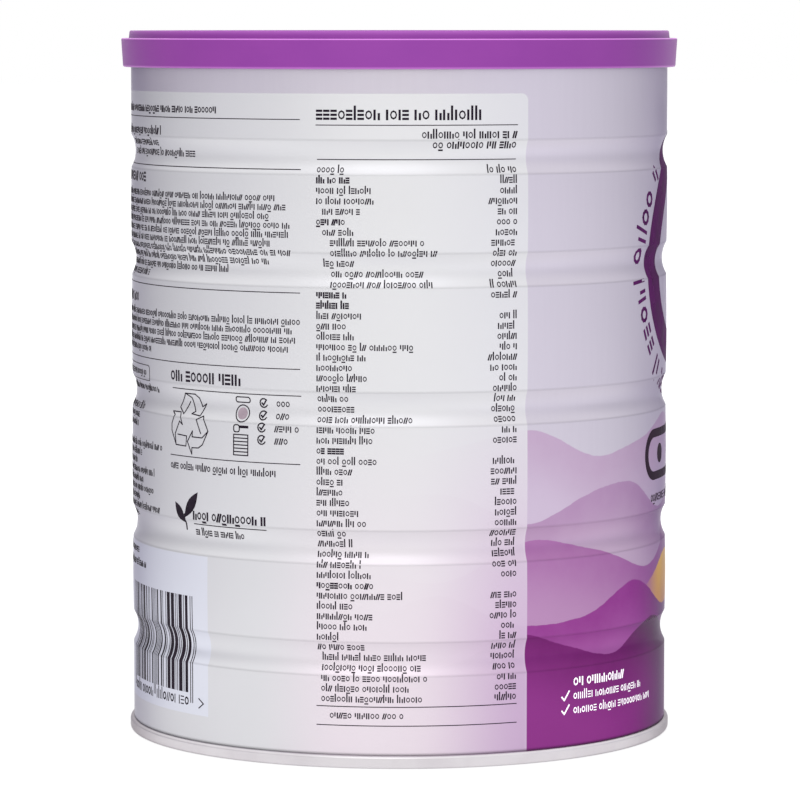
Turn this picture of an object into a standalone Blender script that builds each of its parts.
"""A round milk powder tin: a beaded can body, a seamed-on steel base end and a push-on plastic lid.

Metres, +Z up. The origin is on the tin's axis, level with the ring that it stands on.
Each piece is a solid turned about the Z axis, drawn as an outline of (radius, height) points.
"""

import math

import bmesh
import bpy
from mathutils import Matrix, Vector

# Driving dimensions of the whole tin
BODY_RADIUS = 0.0635
TIN_HEIGHT = 0.1660
GAP = 0.0003

# The base end: a rolled seam that stands proud of the body, round a recessed panel
SEAM_RADIUS = 0.0644
SEAM_HEIGHT = 0.0030
SEAM_ROUNDING = 0.0007
FOOT_INNER_RADIUS = 0.0623
FOOT_ROUNDING = 0.0005
CHUCK_WALL_LEAN = 0.0004
CHUCK_WALL_THICKNESS = 0.0006
COUNTERSINK_DEPTH = 0.0042
COUNTERSINK_WIDTH = 0.0013
PANEL_DEPTH = 0.0033
PANEL_STEP_WIDTH = 0.0007
PANEL_THICKNESS = 0.0015
EXPANSION_RING_RADII = (0.0465, 0.0270)
EXPANSION_RING_WIDTH = 0.0032
EXPANSION_RING_RISE = 0.0006

# The can body: a straight wall with five round-bottomed beads rolled into it
BEAD_MIDDLE = 0.0813
BEAD_INNER_PITCH = 0.0312
BEAD_OUTER_PITCH = 0.0253
BEAD_WIDTH = 0.0077
BEAD_DEPTH = 0.00105
BEAD_STEPS = 5
PANEL_CROWN = 0.00012
BODY_LIP_THICKNESS = 0.0008
BODY_TOP_ROUNDING = 0.0010

# The lid: a skirt that leans in a little, a ledge, and a raised ring round a flat panel
LID_BOTTOM = 0.15745
LID_LEDGE = 0.1642
LID_TOP_RADIUS = 0.0658
LID_BOTTOM_RADIUS = 0.06537
LID_WALL = 0.0011
LID_PANEL_HEIGHT = 0.1640
LID_PANEL_THICKNESS = 0.0010
LID_CENTRE_RADIUS = 0.0540
LID_CENTRE_DROP = 0.0004
LID_RING_RADIUS = 0.0640
LID_RING_WIDTH = 0.0034
LID_RING_LEAN = 0.0002
LID_EDGE_ROUNDING = 0.0004
LID_LEDGE_ROUNDING = 0.00025
SNAP_BEAD_HEIGHT = 0.0014

# How finely the pieces are turned
SIDES = 76
ROUND_STEPS = 3
WELD = 0.000001
SHARP_ANGLE = math.radians(32)


def paint(name, colour, roughness, metallic):
    """A plain Principled material."""
    material = bpy.data.materials.new(name)
    material.use_nodes = True
    shader = material.node_tree.nodes["Principled BSDF"]
    shader.inputs["Base Color"].default_value = (*colour, 1)
    shader.inputs["Roughness"].default_value = roughness
    shader.inputs["Metallic"].default_value = metallic
    material.diffuse_color = (*colour, 1)
    return material


def blended(corners):
    """The points of an open outline, where each corner (radius, height, rounding) is blended by an arc."""
    points = []
    for index, (radius, height, rounding) in enumerate(corners):
        corner = Vector((radius, height))
        if not rounding:
            points.append(corner)
            continue
        back = (Vector(corners[index - 1][:2]) - corner).normalized()
        ahead = (Vector(corners[index + 1][:2]) - corner).normalized()
        half_angle = back.angle(ahead) / 2
        centre = corner + (back + ahead).normalized() * rounding / math.sin(half_angle)
        start = corner + back * rounding / math.tan(half_angle) - centre
        end = corner + ahead * rounding / math.tan(half_angle) - centre
        turn = math.copysign(math.pi - 2 * half_angle, start.cross(end))
        for step in range(ROUND_STEPS + 1):
            spoke = start.copy()
            spoke.rotate(Matrix.Rotation(turn * step / ROUND_STEPS, 2))
            points.append(centre + spoke)
    return points


def turned(name, outline, material):
    """A solid turned about the Z axis, from points that run down its outer side, from the axis to the axis."""
    form = bmesh.new()
    points = [form.verts.new((radius, 0, height)) for radius, height in outline]
    edges = [form.edges.new(ends) for ends in zip(points, points[1:])]
    bmesh.ops.spin(
        form,
        geom=points + edges,
        cent=(0, 0, 0),
        axis=(0, 0, 1),
        angle=2 * math.pi,
        steps=SIDES,
        use_merge=True,
    )
    bmesh.ops.remove_doubles(form, verts=form.verts, dist=WELD)
    bmesh.ops.recalc_face_normals(form, faces=form.faces)
    if form.calc_volume(signed=True) < 0:
        bmesh.ops.reverse_faces(form, faces=form.faces)
    mesh = bpy.data.meshes.new(name)
    form.to_mesh(mesh)
    form.free()
    mesh.shade_smooth()
    mesh.set_sharp_from_angle(angle=SHARP_ANGLE)
    mesh.materials.append(material)
    solid = bpy.data.objects.new(name, mesh)
    bpy.context.scene.collection.objects.link(solid)
    return solid


def bead_centres():
    """The heights of the five beads, from the top one down."""
    offsets = (
        BEAD_INNER_PITCH + BEAD_OUTER_PITCH,
        BEAD_INNER_PITCH,
        0,
        -BEAD_INNER_PITCH,
        -BEAD_INNER_PITCH - BEAD_OUTER_PITCH,
    )
    return [BEAD_MIDDLE + offset for offset in offsets]


def bead(centre):
    """One bead's round bottom, from its upper edge to its lower edge."""
    arc_radius = ((BEAD_WIDTH / 2) ** 2 + BEAD_DEPTH**2) / (2 * BEAD_DEPTH)
    half_angle = math.asin(BEAD_WIDTH / 2 / arc_radius)
    points = []
    for step in range(BEAD_STEPS + 1):
        angle = half_angle * (1 - 2 * step / BEAD_STEPS)
        depth = BEAD_DEPTH - arc_radius * (1 - math.cos(angle))
        points.append(Vector((BODY_RADIUS - depth, centre + arc_radius * math.sin(angle))))
    return points


def body_outline():
    """The can body: solid to the axis, with a thin lip below that goes down round the base end's panel."""
    top = LID_PANEL_HEIGHT - LID_PANEL_THICKNESS - GAP
    bottom = SEAM_HEIGHT + GAP
    lip_radius = BODY_RADIUS - BODY_LIP_THICKNESS
    lip_top = COUNTERSINK_DEPTH + CHUCK_WALL_THICKNESS + GAP
    centres = bead_centres()
    wall = []
    for centre, below in zip(centres, centres[1:] + [None]):
        wall += bead(centre)
        if below is not None:
            wall.append(Vector((BODY_RADIUS + PANEL_CROWN, (centre + below) / 2)))
    upper = blended([(0, top, 0), (BODY_RADIUS, top, BODY_TOP_ROUNDING), (BODY_RADIUS, centres[0], 0)])
    lower = [(BODY_RADIUS, bottom), (lip_radius, bottom), (lip_radius, lip_top), (0, lip_top)]
    return upper[:-1] + wall + lower


def expansion_ring(radius):
    """A shallow ring pressed down into the base panel, from its inner side outwards."""
    low = PANEL_DEPTH - EXPANSION_RING_RISE
    half = EXPANSION_RING_WIDTH / 2
    crest = half / 3
    return [
        (radius - half, PANEL_DEPTH, 0),
        (radius - crest, low, 0),
        (radius + crest, low, 0),
        (radius + half, PANEL_DEPTH, 0),
    ]


def base_outline():
    """The base end: its top under the body, the proud seam, the flat foot, and the recess underneath."""
    wall_top_radius = FOOT_INNER_RADIUS - CHUCK_WALL_LEAN
    lip_clear_radius = BODY_RADIUS - BODY_LIP_THICKNESS - GAP
    panel_radius = wall_top_radius - COUNTERSINK_WIDTH - PANEL_STEP_WIDTH
    corners = [
        (0, PANEL_DEPTH + PANEL_THICKNESS, 0),
        (lip_clear_radius, PANEL_DEPTH + PANEL_THICKNESS, 0),
        (lip_clear_radius, SEAM_HEIGHT, 0),
        (SEAM_RADIUS, SEAM_HEIGHT, SEAM_ROUNDING),
        (SEAM_RADIUS, 0, SEAM_ROUNDING),
        (FOOT_INNER_RADIUS, 0, FOOT_ROUNDING),
        (wall_top_radius, COUNTERSINK_DEPTH, 0),
        (wall_top_radius - COUNTERSINK_WIDTH, COUNTERSINK_DEPTH, 0),
        (panel_radius, PANEL_DEPTH, 0),
    ]
    for radius in EXPANSION_RING_RADII:
        corners += reversed(expansion_ring(radius))
    corners.append((0, PANEL_DEPTH, 0))
    return blended(corners)


def lid_outline():
    """The lid: its panel, raised ring, ledge and skirt outside, then its hollow, which fits over the body."""
    ring_inner_radius = LID_RING_RADIUS - LID_RING_WIDTH
    underside = LID_PANEL_HEIGHT - LID_PANEL_THICKNESS
    hollow_radius = LID_BOTTOM_RADIUS - LID_WALL
    snap_radius = BODY_RADIUS + GAP
    snap_middle = LID_BOTTOM + SNAP_BEAD_HEIGHT
    return blended(
        [
            (0, LID_PANEL_HEIGHT - LID_CENTRE_DROP, 0),
            (LID_CENTRE_RADIUS - LID_CENTRE_DROP, LID_PANEL_HEIGHT - LID_CENTRE_DROP, 0),
            (LID_CENTRE_RADIUS, LID_PANEL_HEIGHT, 0),
            (ring_inner_radius, LID_PANEL_HEIGHT, 0),
            (ring_inner_radius, TIN_HEIGHT, LID_EDGE_ROUNDING),
            (LID_RING_RADIUS - LID_RING_LEAN, TIN_HEIGHT, LID_EDGE_ROUNDING),
            (LID_RING_RADIUS, LID_LEDGE, 0),
            (LID_TOP_RADIUS, LID_LEDGE, LID_LEDGE_ROUNDING),
            (LID_BOTTOM_RADIUS, LID_BOTTOM, LID_EDGE_ROUNDING),
            (hollow_radius, LID_BOTTOM, 0),
            (snap_radius, snap_middle, 0),
            (hollow_radius, snap_middle + SNAP_BEAD_HEIGHT, 0),
            (hollow_radius, underside, 0),
            (0, underside, 0),
        ]
    )


def build():
    """Clears the scene, then makes the tin's three pieces."""
    for leftover in list(bpy.data.objects):
        bpy.data.objects.remove(leftover)
    printed_tinplate = paint("printed_tinplate", (0.70, 0.68, 0.74), 0.32, 0.6)
    bare_tinplate = paint("bare_tinplate", (0.74, 0.73, 0.72), 0.28, 1.0)
    purple_plastic = paint("purple_plastic", (0.30, 0.07, 0.38), 0.38, 0.0)
    turned("can_body", body_outline(), printed_tinplate)
    turned("base_end", base_outline(), bare_tinplate)
    turned("lid", lid_outline(), purple_plastic)


build()
